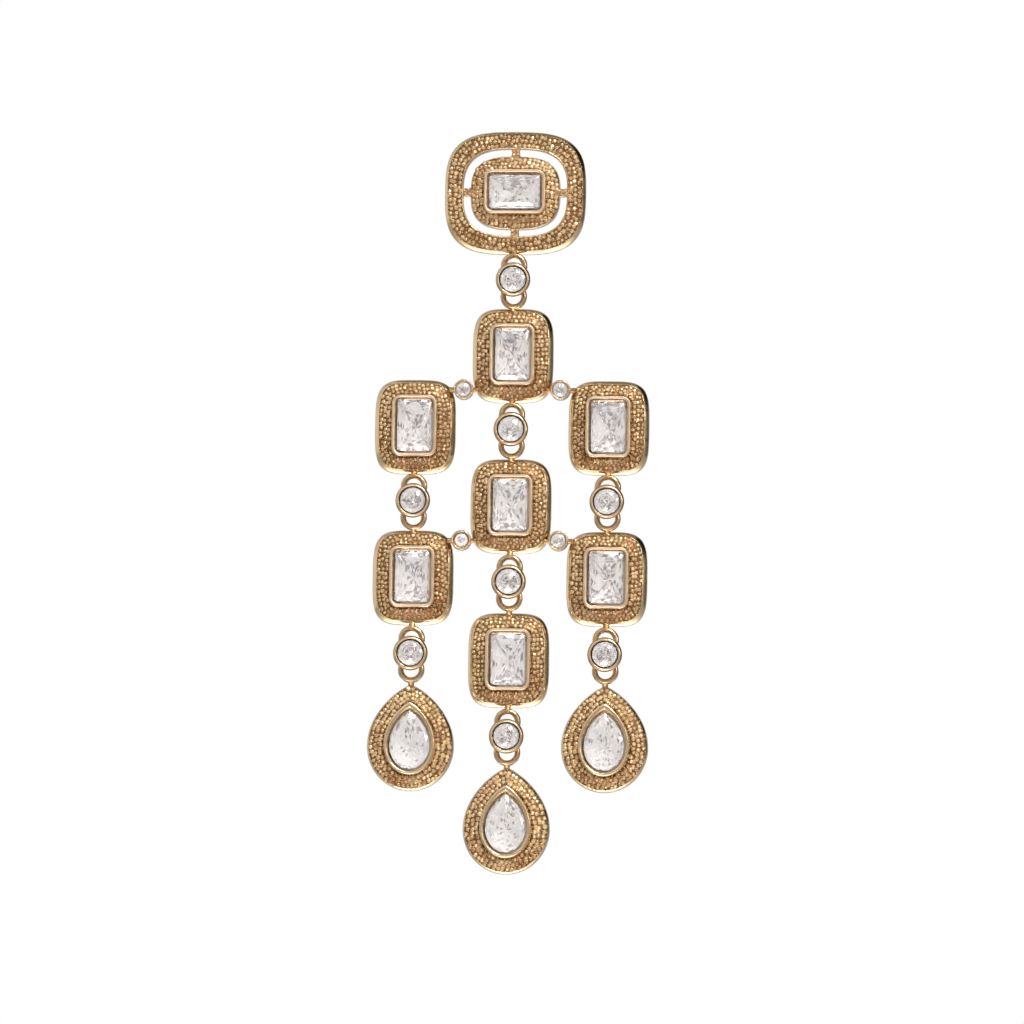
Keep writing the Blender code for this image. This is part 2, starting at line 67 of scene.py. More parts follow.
# Outlines of the frames, as full widths and heights.
CUSHION = {"width": 9.72 * MM, "height": 11.4 * MM, "power": 4.0}
PLATE = {"width": 17.0 * MM, "height": 14.9 * MM, "power": 3.2}
SLOT = {"width": 12.44 * MM, "height": 10.52 * MM, "power": 2.9}
SLOT_WIDTH = 0.8 * MM
SPOKE_WIDTH = 1.0 * MM
SPOKE_DEPTH = 0.9 * MM
SPOKE_LEVEL = 0.62 * MM
SPOKE_OVERLAP = 0.35 * MM
SPOKE_FLARE = 0.9
SPOKE_SQUARE = 0.6
PEAR = {"half": 5.22 * MM, "rise": 7.4 * MM, "fall": 5.4 * MM}
PEAR_TAPER = 1.6
PEAR_SLIM = 0.14 * MM
BEZEL_WALL = 0.5 * MM
BEZEL_CORNER = 1.05 * MM
PEAR_STONE_RISE = 3.95 * MM
STONE_GAP = 0.04 * MM
WINDOW_GAP = 0.16 * MM
GIRDLE_DEPTH = 1.95 * MM
CORNER_CUT = 0.26 * MM

# The inner edge of a stone's seat, as shares of its window across and up. The last one is the most of its
# half height that its corner takes.
CUSHION_SEAT = (0.66, 0.76)
PLATE_SEAT = (0.05, 0.05)
PEAR_SEAT = 0.66
SEAT_ROUND = 0.8

# Links and rings.
LINK_BACK = 1.75 * MM
LINK_BACK_RADIUS = 1.5 * MM
RING_RADIUS = 1.25 * MM
RING_WIRE = 0.35 * MM
RING_DEPTH = 0.9 * MM
RING_TO_LINK = 1.85 * MM
LUG_WIDTH = 0.8 * MM
LUG_DEPTH = 0.78 * MM
LUG_REACH = 0.9 * MM
LUG_END_DEPTH = RING_DEPTH / 2
STAPLE_WIRE = 0.25 * MM
STAPLE_ROOM_UP = 0.24 * MM
STAPLE_ROOM_BACK = 0.2 * MM

# The small bezels between the frames: their bars and the row of beads on the lip.
BAR_START = 0.8 * MM
BAR_END = 1.75 * MM
BAR_DEPTH = 0.75 * MM
BAR_RADIUS = 0.36 * MM
BAR_WAIST = 0.9
LIP_BEADS = 15
LIP_BEAD_RADIUS = 0.13 * MM
LIP_BEAD_ROW = 1.06 * MM
LIP_BEAD_DEPTH = 1.93 * MM

# Paving: rows of small stones and rows of beads, how far apart they are and how much they differ.
PAVE_PITCH = 0.54 * MM
PAVE_ROWS = 3
PAVE_STRAY = 0.15
PAVE_STRAY_ACROSS = 1.5
PAVE_LIFT = 0.08 * MM
PAVE_FILL = 0.53
PAVE_SIZES = (0.80, 1.12)
PAVE_LEAN = 0.24
PAVE_TONES = (0.24, 0.74)
FACET_SWING = 0.17
BEAD_RADIUS = 0.095 * MM
BEAD_PITCH = 0.43 * MM
BEAD_STRAY = 0.32
BEAD_LIFT = 0.12 * MM
BEAD_SPREAD = 0.98
BEAD_INSET = 0.03
BEAD_SIZES = (0.75, 1.30)
BEAD_SIDES = 8
BEAD_RINGS = (-25.0, 20.0, 60.0)

# Painted highlight and painted shade on the paving: how much paler its stones are painted from a frame's
# middle to its top, and how many times as much they are painted darker toward its foot.
FRAME_PAINTED_SHADING = 0.20
INNER_PAINTED_SHADING = 0.10
OUTER_PAINTED_SHADING = 0.04
PAINTED_SHADE_BELOW = 1.8

# The paving of the plate's spokes: rows beside the middle line, places on each, lift and stray.
SPOKE_BEADS = {"rows": (-0.44 * MM, 0.0, 0.44 * MM), "count": 5, "lift": 0.0, "stray": 0.08 * MM}
SPOKE_STONES = {"rows": (-0.23 * MM, 0.23 * MM), "count": 4, "lift": 0.04 * MM, "stray": 0.05 * MM}
SPOKE_STONE_RADIUS = 0.24 * MM
SPOKE_TONE = -0.10

# The channel marks that the gold reads: one is a dull floor painted deep brown as painted shade, nought
# polish, below nought a lip painted a lighter rose as a painted highlight. The marks between nought and one
# paint a share of that shade on the seats, bars, lugs, beads, rings and spokes.
MARK = {
    "floor": 1.0,
    "seat": 0.75,
    "bar": 0.75,
    "lug": 0.6,
    "bead": 0.4,
    "ring": 0.32,
    "spoke": 0.3,
    "lip_bead": 0.25,
    "cup_lip": -0.3,
    "frame_lip": -1.0,
    "pear_lip": -0.35,
}

# Grid sizes: points round an outline, round a turned shape and round a wire, and steps along curves and bars.
DENSE = 1440
AROUND = 160
TURNED = 48
WIRE = 16
FILLET_STEPS = 4
BEND_STEPS = 6
BAR_STEPS = 9
SPOKE_STEPS = 13

# The most of a side that a rounded corner takes.
FILLET_SHARE = 0.45

# Sections from the outer edge inwards, in millimetres: how far in, how deep in front of the back, how round.
RIM = (
    (0.06, 0.00, 0.08),
    (0.00, 0.10, 0.08),
    (0.06, 0.50, 0.15),
    (0.20, 0.80, 0.18),
    (0.38, 1.01, 0.16),
    (0.57, 1.16, 0.03),
    (0.61, 1.03, 0.03),
)
FRAME_SECTION = RIM + (
    (1.98, 1.44, 0.06),
    (2.11, 2.04, 0.12),
    (2.18, 2.34, 0.10),
    (2.26, 2.44, 0.08),
    (2.48, 2.42, 0.08),
    (2.60, 2.18, 0.06),
    (2.79, 1.72, 0.08),
    (3.10, 1.00, 0.20),
    (3.60, 0.10, 0.10),
    (3.50, 0.00, 0.10),
)
BAND = 2.2
INSETS = (0.0, BAND, BAND + 0.5, BAND + 1.4)
PAVED = {"from": 0.60, "to": 1.99, "low": 1.02, "high": 1.45}

# Where the marks lie on a section: round the paved floor and from the seat inwards, both painted shade, and
# on the bezel's lip, a painted highlight.
FLOOR_SPARE = {"out": 0.03, "in": 0.02, "up": 0.05}
FLOOR_ABOVE = 0.9
LIP = {"from": BAND - 0.06, "to": BAND + 0.32, "above": 2.1}
SEAT_FROM = BAND + 0.37

# The plate's outer ring, from its outer edge to its slot.
RING_SECTION = RIM + (
    (2.00, 1.10, 0.05),
    (2.03, 1.22, 0.05),
    (2.14, 1.22, 0.08),
    (2.20, 1.08, 0.08),
    (2.20, 0.12, 0.12),
    (2.12, 0.00, 0.10),
)
RING_PAVED = {"from": 0.60, "to": 2.01, "low": 1.02, "high": 1.10}

# The plate's inner cushion is a frame whose seat is closed behind.
PLATE_SECTION = FRAME_SECTION[:-3] + (
    (2.86, 0.80, 0.15),
    (3.58, 0.40, 0.05),
    (3.58, 0.00, 0.05),
)

# The share of the rim's width that the plate's ring keeps, and that its inner cushion and the pears keep.
PLATE_RIM = 0.72
FINE_RIM = 0.50
RIM_END = 0.7

# Cups of the links and of the small bezels: rows of radius, depth and round, in millimetres. The rest is the
# mark on the cup's walls, a share of painted shade.
LINK_CUP = {
    "seat": 1.665 * MM,
    "lip": 2.88 * MM,
    "rest": 0.8,
    "rows": (
        (1.66, 2.90, 0.06),
        (1.72, 2.98, 0.05),
        (1.86, 2.96, 0.08),
        (2.04, 2.78, 0.12),
        (2.10, 2.50, 0.15),
        (1.72, 2.05, 0.25),
        (1.50, 1.75, 0.08),
        (0.80, 1.75, 0.08),
        (1.20, 2.20, 0.10),
        (1.60, 2.40, 0.05),
    ),
}
SMALL_CUP = {
    "seat": 0.945 * MM,
    "lip": 1.92 * MM,
    "rest": 0.5,
    "rows": (
        (0.94, 1.88, 0.05),
        (1.02, 1.95, 0.06),
        (1.16, 1.93, 0.08),
        (1.20, 1.70, 0.15),
        (1.20, 0.50, 0.15),
        (1.05, 0.35, 0.10),
        (0.60, 0.35, 0.05),
        (0.62, 0.90, 0.10),
        (0.92, 1.40, 0.05),
    ),
}

# The post as radius and depth, in millimetres: collar, shank, the groove for a push-on back, and tip.
TIP = -10.5
POST = (
    (0.05, 0.3), (1.62, 0.3), (1.70, 0.2), (1.70, -0.28), (1.62, -0.36), (0.52, -0.50), (0.45, -0.62),
    (0.45, TIP + 2.3), (0.40, TIP + 2.15), (0.34, TIP + 2.0), (0.40, TIP + 1.85), (0.45, TIP + 1.7),
    (0.45, TIP + 0.35), (0.38, TIP + 0.15), (0.22, TIP + 0.03), (0.04, TIP),
)

# The cuts of the stones, from the table down: share of the outline, height above the girdle, turn in steps.
# The heights of the small paved stones are in radii.
DEEP_CUT = (
    (0.66, 0.44 * MM, 0.0),
    (0.84, 0.30 * MM, 0.5),
    (1.00, 0.06 * MM, 0.0),
    (1.00, -0.04 * MM, 0.0),
    (0.90, -0.26 * MM, 0.5),
    (0.78, -0.44 * MM, 0.0),
    (0.65, -0.62 * MM, 0.5),
    (0.51, -0.78 * MM, 0.0),
    (0.37, -0.92 * MM, 0.5),
    (0.22, -1.06 * MM, 0.0),
)
OBLONG_SIDES = 32
OBLONG_CULET = -1.20 * MM
PEAR_SIDES = 24
PEAR_CULET = -1.22 * MM
ROUND_CUT = (
    (0.54, 0.42 * MM, 0.5),
    (0.78, 0.28 * MM, 0.0),
    (1.00, 0.05 * MM, 0.5),
    (1.00, -0.02 * MM, 0.5),
    (0.78, -0.32 * MM, 0.0),
    (0.56, -0.58 * MM, 0.5),
    (0.30, -0.82 * MM, 0.0),
)
ROUND_SIDES = 16
ROUND_CULET = -1.02 * MM
PAVE_CUT = (
    (0.50, 0.42, 0.0),
    (0.80, 0.26, 0.5),
    (1.00, 0.0, 0.0),
)
PAVE_CULET = -0.30
PAVE_SIDES = 8

# How far a stone's points stand high or low, and which rings of points take all or a part of that.
SWING = 0.05 * MM
LOOSE_BELOW = -0.1 * MM
PART_LOOSE = {"from": 0.2 * MM, "to": 0.32 * MM, "share": 0.35}
FOIL_BELOW = 0.03 * MM

# The round stones: radius, depth of the girdle and scale of the heights.
LINK_STONE = {"radius": 1.55 * MM, "depth": 2.73 * MM, "scale": 1.0}
SMALL_STONE = {"radius": 0.90 * MM, "depth": 1.75 * MM, "scale": 0.58}

# The share of a stone's facets that is dim, elsewhere and at its ends, and the tones of the bright ones. The
# dim facets are painted dark reflections.
DIM_TONES = (0.0, 0.36)
OBLONG_TONES = {"dim": 0.24, "dim_ends": 0.50, "bright": (0.55, 1.0)}
PLATE_TONES = {"dim": 0.14, "dim_ends": 0.40, "bright": (0.55, 1.0)}
PEAR_TONES = {"dim": 0.08, "dim_ends": 0.20, "bright": (0.55, 1.0)}
ROUND_TONES = {"dim": 0.02, "dim_ends": 0.60, "bright": (0.62, 0.90), "ends_from": len(ROUND_CUT) - 1}

# The rings of each piece, by the link that hangs there: 1 is a ring below the link, -1 one above it.
RINGS_OF = {
    "row_upper": (("link_top", 1), ("link_rows_centre", -1), ("link_rows_left", -1), ("link_rows_right", -1)),
    "row_lower": (("link_rows_centre", 1), ("link_rows_left", 1), ("link_rows_right", 1),
                  ("link_cushion", -1), ("link_pear_left", -1), ("link_pear_right", -1)),
    "cushion_lowest": (("link_cushion", 1), ("link_pear_centre", -1)),
    "pear_left": (("link_pear_left", 1),),
    "pear_centre": (("link_pear_centre", 1),),
    "pear_right": (("link_pear_right", 1),),
}

# The camera, as the photograph was taken.
CAMERA_AZIMUTH = 4.0
CAMERA_ELEVATION = -6.0
CAMERA_ROLL = 0.85
CAMERA_DISTANCE = 1.2
PIXEL = 0.1194 * MM
FRAME_PIXELS = 1024
SENSOR_WIDTH = 36.0
AIM = Vector((0.20 * MM, -1.2 * MM, -40.5 * MM))


# Outlines, all closed and given as x and z arrays.


def evenly(x, z, count, shift=0.0):
    """Points at equal steps along an outline: its own points read at equal shares of the length run."""
    x, z = np.append(x, x[0]), np.append(z, z[0])
    run = np.concatenate([[0.0], np.cumsum(np.hypot(np.diff(x), np.diff(z)))])
    at = (np.arange(count) + shift) / count * run[-1]
    return np.interp(at, run, x), np.interp(at, run, z)


def superellipse(width, height, power):
    """|x/a| to the power n plus |z/b| to the power n is one."""
    turn = np.linspace(0, TURN, DENSE, endpoint=False)
    across, up = np.cos(turn), np.sin(turn)
    x = np.sign(across) * np.abs(across) ** (2 / power) * width / 2
    z = np.sign(up) * np.abs(up) ** (2 / power) * height / 2
    return evenly(x, z, DENSE)


def rounded_rectangle(half_width, half_height, corner):
    """An inner rectangle's corner plus the corner's radius along each angle, then filled along the sides."""
    turn = np.linspace(0, TURN, DENSE, endpoint=False) + TURN / DENSE / 2
    x = np.sign(np.cos(turn)) * (half_width - corner) + corner * np.cos(turn)
    z = np.sign(np.sin(turn)) * (half_height - corner) + corner * np.sin(turn)
    return evenly(x, z, DENSE)


def pear_outline(half, rise, fall):
    """An ellipse below its widest line; above it the sine is raised to the taper, which draws in to a tip."""
    turn = np.linspace(0, TURN, DENSE, endpoint=False)
    across, up = np.sin(turn), np.cos(turn)
    draw = np.where(up > 0, PEAR_TAPER, 1.0)
    x = -np.sign(across) * np.abs(across) ** draw * half
    z = up * np.where(up > 0, rise, fall)
    return x, z


def nested(outlines, insets):
    """Outlines about one middle, as distances from it along shared angles, evenly stepped round the first."""
    x, z = evenly(*outlines[0], AROUND)
    angles = np.arctan2(z, x)
    reach = [np.interp(angles, np.arctan2(oz, ox), np.hypot(ox, oz), period=TURN) for ox, oz in outlines]
    return {"angles": angles, "reach": np.array(reach), "insets": np.array(insets)}


def reach_at(nest, inset):
    """Distances from the middle, a row for each inset: straight steps from one nested outline to the next."""
    last = len(nest["insets"]) - 1
    station = np.interp(inset, nest["insets"], np.arange(last + 1))
    low = np.minimum(station.astype(int), last - 1)
    share = (station - low)[:, None]
    return nest["reach"][low] * (1 - share) + nest["reach"][low + 1] * share


# Shapes: points, blocks of faces, and marks read by the materials.


def curved(start, corner, end, steps):
    """Quadratic curves from start to end, drawn toward a corner: the three by (1-t)^2, 2t(1-t) and t^2."""
    t = np.linspace(0, 1, steps)[None, :, None]
    curve = (1 - t) ** 2 * start[:, None] + 2 * t * (1 - t) * corner[:, None] + t**2 * end[:, None]
    return curve.reshape(-1, 2)


def filleted(section):
    """A closed section with rounded corners: a curve from a point before each corner to one after it."""
    corner, reach = np.array(section)[:, :2], np.array(section)[:, 2:]

    def toward(other):
        side = other - corner
        length = np.linalg.norm(side, axis=1, keepdims=True)
        return corner + side / length * np.minimum(reach, FILLET_SHARE * length)

    return curved(toward(np.roll(corner, 1, 0)), corner, toward(np.roll(corner, -1, 0)), FILLET_STEPS)


def quads(rows, columns, wrap_rows=True):
    """Faces between neighbours on a grid whose columns run round, and whose rows may."""
    row, column = np.meshgrid(np.arange(rows if wrap_rows else rows - 1), np.arange(columns), indexing="ij")
    here, below = row * columns, (row + 1) % rows * columns
    beside = (column + 1) % columns
    return np.stack((here + column, here + beside, below + beside, below + column), axis=-1).reshape(-1, 4)


def outward(points, faces):
    """The faces turned over if the volume that they sign, from fans of tetrahedra, is below nothing."""
    signed = 0.0
    for block in faces:
        for step in range(1, block.shape[1] - 1):
            a, b, c = points[block[:, 0]], points[block[:, step]], points[block[:, step + 1]]
            signed += np.einsum("ij,ij->", a, np.cross(b, c))
    return faces if signed > 0 else [block[:, ::-1] for block in faces]


def shape(points, faces, smooth=True, channel=0.0, tone=0.5):
    """Points and blocks of faces with their marks: a channel for each point and a tone for each face."""
    return {
        "points": points,
        "faces": outward(points, faces),
        "smooth": smooth,
        "channel": np.full(len(points), channel, float),
        "tone": np.full(sum(len(block) for block in faces), tone, float),
    }


def grid_shape(points, wrap_rows=True, capped=False, **marks):
    """A grid of points (rows, columns, 3) skinned, with its end rows closed where they don't meet."""
    rows, columns = points.shape[:2]
    faces = [quads(rows, columns, wrap_rows)]
    if capped:
        ring = np.arange(columns)
        faces += [ring[None, ::-1], (rows - 1) * columns + ring[None]]
    return shape(points.reshape(-1, 3), faces, **marks)


def narrow_rim(section, paved, share):
    """The section and its paved band with the rim drawn in to a share of its width."""
    rows = np.array(section)
    rows[:, 0] *= np.where(rows[:, 0] < RIM_END, share, 1.0)
    return rows, {**paved, "from": paved["from"] * share}


def lofted(nest, section, place, paved, lip="frame_lip"):
    """A section carried round nested outlines: x and z are the distance at its inset along each angle."""
    inset, depth = filleted(section).T
    reach = reach_at(nest, inset)
    x = place[0] + reach * np.cos(nest["angles"])
    z = place[1] + reach * np.sin(nest["angles"])
    y = np.broadcast_to(-depth[:, None] * MM, reach.shape)
    channel = np.zeros(reach.shape)
    # The paved floor and the seat take painted shade, the lip a painted highlight, through the channel mark.
    floor = (inset > paved["from"] - FLOOR_SPARE["out"]) & (inset < paved["to"] + FLOOR_SPARE["in"])
    floor &= (depth > FLOOR_ABOVE) & (depth < paved["high"] + FLOOR_SPARE["up"])
    channel[floor] = MARK["floor"]
    channel[(inset > LIP["from"]) & (inset < LIP["to"]) & (depth > LIP["above"])] = MARK[lip]
    channel[inset > SEAT_FROM] = MARK["seat"]
    return grid_shape(np.stack([x, y, z], axis=-1), channel=channel.reshape(-1))


def turned(radius, depth, place, marks, closed=True):
    """Rows of radius and depth turned about the line along Y through a place, with a mark for each row."""
    turn = np.linspace(0, TURN, TURNED, endpoint=False)
    x = place[0] + radius[:, None] * np.cos(turn)
    z = place[1] + radius[:, None] * np.sin(turn)
    y = np.broadcast_to(-depth[:, None], x.shape)
    channel = np.repeat(marks, TURNED)
    return grid_shape(np.stack([x, y, z], axis=-1), wrap_rows=closed, capped=not closed, channel=channel)


def turned_cup(cup, place):
    """A turned cup: the floor's mark inside its seat, the lip's in front of its lip, the rest elsewhere. The
    floor and the rest paint shade, the lip a painted highlight.
    """
    radius, depth = filleted(cup["rows"]).T * MM
    marks = np.where(depth > cup["lip"], MARK["cup_lip"], cup["rest"])
    marks[radius < cup["seat"]] = MARK["floor"]
    return turned(radius, depth, place, marks)


def ring(place):
    """A torus about the line along Y: a circle of the wire carried round a circle of the ring's radius."""
    around = np.linspace(0, TURN, TURNED, endpoint=False)[:, None]
    across = np.linspace(0, TURN, WIRE, endpoint=False)
    out = RING_RADIUS + RING_WIRE * np.cos(across)
    x, z = place[0] + out * np.cos(around), place[1] + out * np.sin(around)
    y = np.broadcast_to(-RING_DEPTH + RING_WIRE * np.sin(across), x.shape)
    return grid_shape(np.stack([x, y, z], axis=-1), channel=MARK["ring"])


def rod(start, end):
    """A round dull bar: its radius falls with a half sine to the waist's share at its middle."""
    start, end = np.array(start), np.array(end)
    along = (end - start) / np.linalg.norm(end - start)
    side = np.cross(along, [0.0, 1.0, 0.0])
    side /= np.linalg.norm(side)
    over = np.cross(along, side)
    step = np.linspace(0, 1, BAR_STEPS)[:, None, None]
    turn = np.linspace(0, TURN, WIRE, endpoint=False)[None, :, None]
    size = BAR_RADIUS * (1 - (1 - BAR_WAIST) * np.sin(math.pi * step))
    points = start + (end - start) * step + size * (np.cos(turn) * side + np.sin(turn) * over)
    return grid_shape(points, wrap_rows=False, capped=True, channel=MARK["bar"])


def spoke(start, end, width, depth, mark):
    """A flat bridge between two points: cosine and sine to a power below one make its section squarish.

    Its width flares toward each end with the fourth power of the distance from its middle.
    """
    start, end = np.array(start), np.array(end)
    along = (end - start) / np.linalg.norm(end - start)
    side = np.cross(along, [0.0, 1.0, 0.0])
    step = np.linspace(0, 1, SPOKE_STEPS)[:, None, None]
    turn = np.linspace(0, TURN, WIRE, endpoint=False)[None, :, None]
    flare = 1 + SPOKE_FLARE * (2 * step - 1) ** 4
    across = np.sign(np.cos(turn)) * np.abs(np.cos(turn)) ** SPOKE_SQUARE * width / 2 * flare
    forward = np.sign(np.sin(turn)) * np.abs(np.sin(turn)) ** SPOKE_SQUARE * depth / 2
    points = start + (end - start) * step + across * side + forward * np.array([0.0, 1.0, 0.0])
    return grid_shape(points, wrap_rows=False, capped=True, channel=mark)


def bent_wire(route, place):
    """The staple's wire along a route of (depth, height) in the plane across X, its corners rounded."""
    route = np.array(route)
    corner = route[1:-1]
    start, end = corner + (route[:-2] - corner) * FILLET_SHARE, corner + (route[2:] - corner) * FILLET_SHARE
    path = np.concatenate([route[:1], curved(start, corner, end, BEND_STEPS), route[-1:]])
    way = np.gradient(path, axis=0)
    way /= np.linalg.norm(way, axis=1, keepdims=True)
    turn = np.linspace(0, TURN, WIRE, endpoint=False)
    x = np.broadcast_to(place[0] + STAPLE_WIRE * np.cos(turn), (len(path), WIRE))
    depth = path[:, :1] + STAPLE_WIRE * np.sin(turn) * way[:, 1:]
    z = place[1] + path[:, 1:] - STAPLE_WIRE * np.sin(turn) * way[:, :1]
    return grid_shape(np.stack([x, -depth, z], axis=-1), wrap_rows=False, capped=True)


def staggered(turns, count):
    """Triangles between rings of points where one is turned half a step from the last, or quads where not."""
    faces = []
    for number, lean in enumerate(np.diff(turns)):
        low = number * count + np.arange(count)
        low_next = number * count + (np.arange(count) + 1) % count
        high, high_next = low + count, low_next + count
        if lean:
            over, under = (high, low_next) if lean > 0 else (high_next, low)
            pair = [low, low_next, over], [under, high_next, high]
            faces.append(np.concatenate([np.stack(corners, 1) for corners in pair]))
        else:
            faces.append(np.stack([low, low_next, high_next, high], 1))
    return faces


def loose(height):
    """How much of the swing a ring takes: all below the girdle, a part in a band above it, none elsewhere."""
    return (height < LOOSE_BELOW) + PART_LOOSE["share"] * (PART_LOOSE["from"] < height < PART_LOOSE["to"])


def gem(outline, cut, count, culet, swing=0.0):
    """A cut stone: rings of the outline at a share of its size, each maybe half a step round, then a point.

    A loose ring's points stand a little high or low, which turns each facet its own way.
    """
    rings = []
    for share, height, turn in cut:
        x, z = outline((np.arange(count) + turn) / count)
        heights = height + CHANCE.uniform(-swing, swing, count) * loose(height)
        rings.append(np.stack([x * share, -heights, z * share], 1))
    points = np.concatenate([*rings, [[0.0, -culet, 0.0]]])
    faces = [np.arange(count)[None]] + staggered([row[2] for row in cut], count)
    last = (len(cut) - 1) * count + np.arange(count)
    last_next = (len(cut) - 1) * count + (np.arange(count) + 1) % count
    faces.append(np.stack([last, last_next, np.full(count, len(points) - 1)], 1))
    return points, faces


def by_share(x, z):
    """An outline as a function of the share of the way round, in straight steps between its points."""
    spots = np.linspace(0, 1, len(x) + 1)

    def outline(share):
        share = share % 1.0
        return np.interp(share, spots, np.append(x, x[0])), np.interp(share, spots, np.append(z, z[0]))

    return outline


def oblong(half_width, half_height):
    """The eight corners of an oblong with cut corners, as a function of the share of the way round."""
    w, h, cut = half_width, half_height, CORNER_CUT
    x = np.array([w, w, w - cut, -w + cut, -w, -w, -w + cut, w - cut])
    z = np.array([-h + cut, h - cut, h, h, h - cut, -h + cut, -h, -h])
    return by_share(x, z)


def copies(points, faces, centres, tangents, ups, sizes, **marks):
    """Many of one small shape: centre plus its own x, y and z along each copy's tangent, up and side."""
    sides = np.cross(tangents, ups)
    axes = np.stack([tangents, -ups, sides], axis=1)
    placed = centres[:, None] + sizes[:, None, None] * (points[None] @ axes)
    moved = [
        (block[None] + len(points) * np.arange(len(centres))[:, None, None]).reshape(-1, block.shape[1])
        for block in faces
    ]
    return shape(placed.reshape(-1, 3), moved, **marks)


def along(nest, inset, paved, place, shift, pitch, lift):
    """Places, directions and ups at even steps along an inset of a paved band, square to its slope."""
    reach = reach_at(nest, np.array([inset]))[0]
    x, z = reach * np.cos(nest["angles"]), reach * np.sin(nest["angles"])
    length = np.hypot(np.diff(x, append=x[0]), np.diff(z, append=z[0])).sum()
    count = int(round(length / pitch))
    x, z = evenly(x, z, count * 2, 2 * shift)
    x_next, z_next = np.roll(x, -1)[::2], np.roll(z, -1)[::2]
    x_last, z_last = np.roll(x, 1)[::2], np.roll(z, 1)[::2]
    x, z = x[::2], z[::2]
    tangents = np.stack([x_next - x_last, np.zeros(count), z_next - z_last], 1)
    tangents /= np.linalg.norm(tangents, axis=1, keepdims=True)
    rise = (paved["high"] - paved["low"]) / (paved["to"] - paved["from"])
    depth = (paved["low"] + rise * (inset - paved["from"])) * MM + lift
    out = np.cross(tangents, [0.0, 1.0, 0.0])
    out *= np.sign(np.einsum("ij,ij->i", out, np.stack([x, np.zeros(count), z], 1)))[:, None]
    ups = np.array([0.0, -1.0, 0.0]) + rise * out
    ups /= np.linalg.norm(ups, axis=1, keepdims=True)
    centres = np.stack([x + place[0], np.full(count, -depth), z + place[1]], 1)
    return centres, tangents, ups


def small_stones(held, radius, lift):
    """Copies of one small cut stone at the places held for them, each leant and turned its own way."""
    turn = np.arange(PAVE_SIDES) / PAVE_SIDES * TURN
    points, faces = gem(by_share(np.cos(turn), np.sin(turn)), PAVE_CUT, PAVE_SIDES, PAVE_CULET)
    centres, tangents, ups = held
    tangents, ups = wobbled(tangents, ups)
    sizes = radius * CHANCE.uniform(*PAVE_SIZES, len(centres))
    tone = facet_tone(len(centres), faces, lift)
    return copies(points, faces, centres, tangents, ups, sizes, smooth=False, tone=tone)


def paving(nest, paved, place, shade=FRAME_PAINTED_SHADING):
    """Rows of small stones on a paved band, painted paler upward as a painted highlight and darker downward
    as painted shade, and the beads of metal between the rows.
    """
    step = (paved["to"] - paved["from"]) / PAVE_ROWS
    stones, beads = [], []
    for number in range(PAVE_ROWS):
        inset = paved["from"] + step * (number + 0.5)
        held = along(nest, inset, paved, place, CHANCE.uniform(), PAVE_PITCH, PAVE_LIFT)
        held = strayed(*held, PAVE_PITCH * PAVE_STRAY, PAVE_STRAY_ACROSS)
        high = (held[0][:, 2] - place[1]) / np.abs(held[0][:, 2] - place[1]).max()
        # The lift is painted light: a painted highlight toward the frame's top and painted shade toward its
        # foot.
        lift = shade * np.where(high > 0, high, PAINTED_SHADE_BELOW * high)
        stones.append(small_stones(held, step * MM * PAVE_FILL, lift))
    for number in range(PAVE_ROWS + 1):
        inset = paved["from"] + step * (number * BEAD_SPREAD + BEAD_INSET)
        held = along(nest, inset, paved, place, CHANCE.uniform(), BEAD_PITCH, BEAD_LIFT)
        beads.append(bead_copies(*strayed(*held, BEAD_PITCH * BEAD_STRAY), BEAD_RADIUS))
    return stones, beads


def strayed(centres, tangents, ups, most, wide=0.7):
    """Places moved a little at random, along their row and across it."""
    step = CHANCE.uniform(-most, most, (len(centres), 2))
    return centres + step[:, :1] * tangents + wide * step[:, 1:] * np.cross(tangents, ups), tangents, ups


def wobbled(tangents, ups):
    """Directions leant a little at random, and made square to each other again."""
    ups = ups + CHANCE.uniform(-PAVE_LEAN, PAVE_LEAN, ups.shape)
    ups /= np.linalg.norm(ups, axis=1, keepdims=True)
    tangents = tangents - np.einsum("ij,ij->i", tangents, ups)[:, None] * ups
    tangents /= np.linalg.norm(tangents, axis=1, keepdims=True)
    turn = CHANCE.uniform(0, TURN, len(ups))[:, None]
    return tangents * np.cos(turn) + np.cross(ups, tangents) * np.sin(turn), ups


def facet_tone(count, faces, lift):
    """A tone for each facet: its stone's own plus its lift, with each facet a little off it. On frames the
    lift is a painted highlight toward the top and painted shade toward the foot.
    """
    own = (CHANCE.uniform(*PAVE_TONES, count) + lift)[:, None]
    blocks = [own + CHANCE.uniform(-FACET_SWING, FACET_SWING, (count, len(block))) for block in faces]
    return np.clip(np.concatenate([block.reshape(-1) for block in blocks]), 0.0, 1.0)


def bead_copies(centres, tangents, ups, radius, mark=MARK["bead"]):
    """Small domes of metal: rings at a rising angle, closed by a flat top."""
    turn = np.linspace(0, TURN, BEAD_SIDES, endpoint=False)
    lift = np.radians(BEAD_RINGS)[:, None]
    x, z = np.cos(lift) * np.cos(turn), np.cos(lift) * np.sin(turn)
    y = np.broadcast_to(-np.sin(lift), x.shape)
    points = np.stack([x, y, z], -1).reshape(-1, 3)
    foot = np.arange(BEAD_SIDES)[None]
    top = (len(BEAD_RINGS) - 1) * BEAD_SIDES + foot
    faces = [quads(len(BEAD_RINGS), BEAD_SIDES, False), foot[:, ::-1], top]
    sizes = radius * CHANCE.uniform(*BEAD_SIZES, len(centres))
    return copies(points, faces, centres, tangents, ups, sizes, channel=mark)


